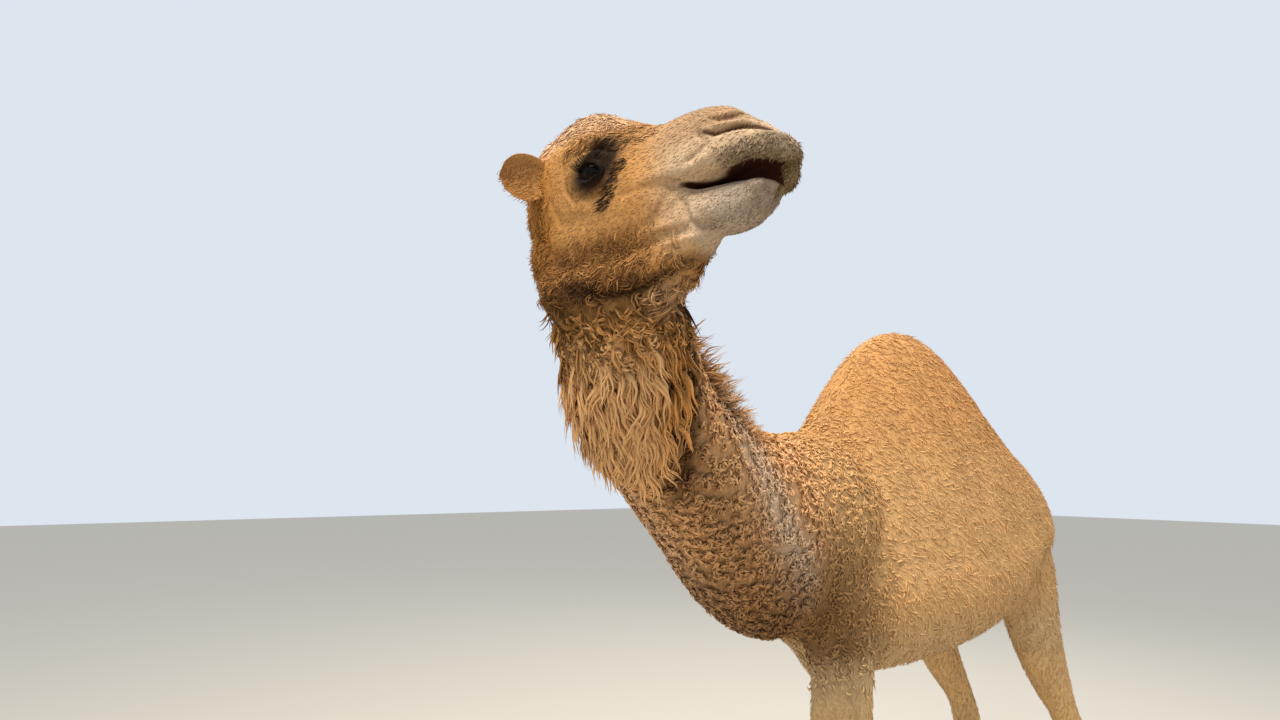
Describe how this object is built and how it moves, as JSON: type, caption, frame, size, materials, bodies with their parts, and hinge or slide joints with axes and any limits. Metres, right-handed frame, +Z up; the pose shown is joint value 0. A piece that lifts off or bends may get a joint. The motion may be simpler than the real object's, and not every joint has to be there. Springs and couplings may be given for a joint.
{
  "type": "dromedary camel",
  "caption": "Life-size standing camel with one hump, neck stretched forward and head turned to its left, curled winter wool and a throat beard",
  "frame": {"origin": "middle of the model's box, on the floor under the feet", "axes": "+Z up; the trunk faces -Y with the animal's left side at +X; the head is turned to +X"},
  "size_m": [1.1808, 2.5838, 2.2229],
  "materials": {
    "face_hair": "short orange-tan hair, paler and greyer on the lips",
    "wool": "tight curls of tan-brown wool with a golden throat beard",
    "coat": "short sandy wool, shorter hair on the legs",
    "eye": "wet dark brown"
  },
  "bodies": {
    "root": {"head": "face_hair", "neck_upper": "wool", "neck_lower": "wool", "trunk": "coat", "tail": "coat", "foreleg_left": "coat", "foreleg_right": "coat", "hindleg_left": "coat", "hindleg_right": "coat", "ear_left": "face_hair", "ear_right": "face_hair", "eye_left": "eye", "eye_right": "eye"}
  },
  "joints": []
}
